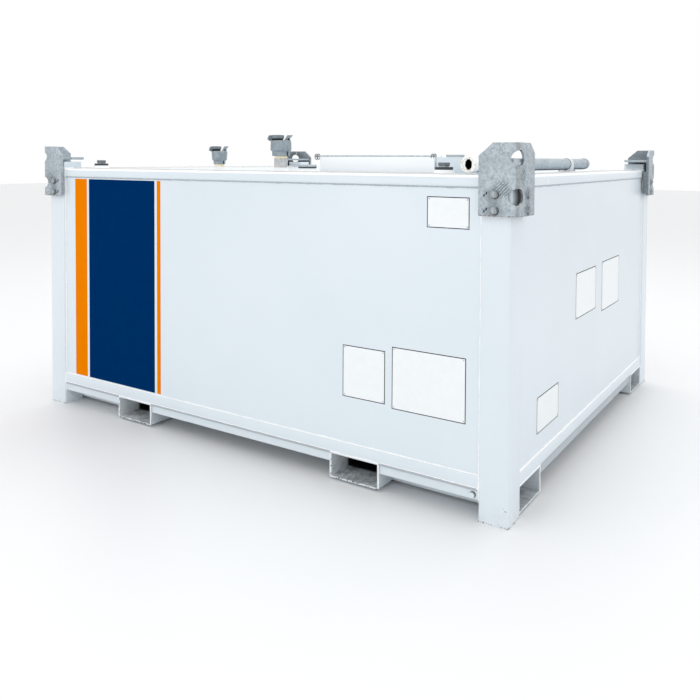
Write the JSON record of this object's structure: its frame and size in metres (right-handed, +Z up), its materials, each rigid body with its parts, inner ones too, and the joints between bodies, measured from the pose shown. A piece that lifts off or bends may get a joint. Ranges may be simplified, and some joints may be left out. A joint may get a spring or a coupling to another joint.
{
  "type": "transportable rectangular fuel tank",
  "caption": "White rectangular steel fuel tank with corner posts, bolted lifting lugs, fork pockets, hinged fill and dip caps and a roof pipe.",
  "frame": {"origin": "middle of the footprint, on the ground", "axes": "+Z up, +X to the right along the long front face, front face towards -Y"},
  "size_m": [2.406, 2.036, 1.2915],
  "materials": {
    "white_enamel": "gloss enamel",
    "hot_dip_zinc": "matt galvanised",
    "cast_aluminium": "as cast",
    "dark_iron": "dark oxide"
  },
  "bodies": {
    "tank": {"front_left_post": "white_enamel", "front_right_post": "white_enamel", "back_left_post": "white_enamel", "back_right_post": "white_enamel", "front_left_lug": "hot_dip_zinc", "front_right_lug": "hot_dip_zinc", "back_left_lug": "hot_dip_zinc", "back_right_lug": "hot_dip_zinc", "front_left_side_pocket": "hot_dip_zinc", "front_right_side_pocket": "hot_dip_zinc", "back_left_side_pocket": "hot_dip_zinc", "back_right_side_pocket": "hot_dip_zinc", "front_rail": "white_enamel", "back_rail": "white_enamel", "left_rail": "white_enamel", "right_rail": "white_enamel", "front_wall": "white_enamel", "back_wall": "white_enamel", "left_wall": "white_enamel", "right_wall": "white_enamel", "front_sill": "white_enamel", "back_sill": "white_enamel", "left_sill": "white_enamel", "right_sill": "white_enamel", "floor_plate": "white_enamel", "roof_plate": "white_enamel", "left_fork_pocket": "hot_dip_zinc", "right_fork_pocket": "hot_dip_zinc", "fill_neck": "hot_dip_zinc", "fill_cap_body": "cast_aluminium", "dip_neck": "hot_dip_zinc", "dip_cap_body": "cast_aluminium", "roof_pipe": "hot_dip_zinc", "pipe_end_cap": "hot_dip_zinc", "front_clamp": "white_enamel", "back_clamp": "white_enamel", "hatch_curb": "white_enamel", "hatch_lid": "white_enamel", "gauge_box": "white_enamel", "plate_cap": "hot_dip_zinc", "left_roof_plug": "dark_iron", "right_roof_plug": "dark_iron", "drain_plug": "hot_dip_zinc"},
    "fill_lid": {"fill_cap_lid": "cast_aluminium"},
    "dip_lid": {"dip_cap_lid": "cast_aluminium"}
  },
  "joints": [
    {"name": "fill_lid_hinge", "type": "hinge", "parent": "tank", "child": "fill_lid", "pos_m": [-0.03223, -0.73097, 1.2735], "axis": [0.5736, -0.8192, 0], "range_deg": [0, 105]},
    {"name": "dip_lid_hinge", "type": "hinge", "parent": "tank", "child": "dip_lid", "pos_m": [-0.38139, -0.72478, 1.2285], "axis": [0.5736, -0.8192, 0], "range_deg": [0, 105]}
  ]
}
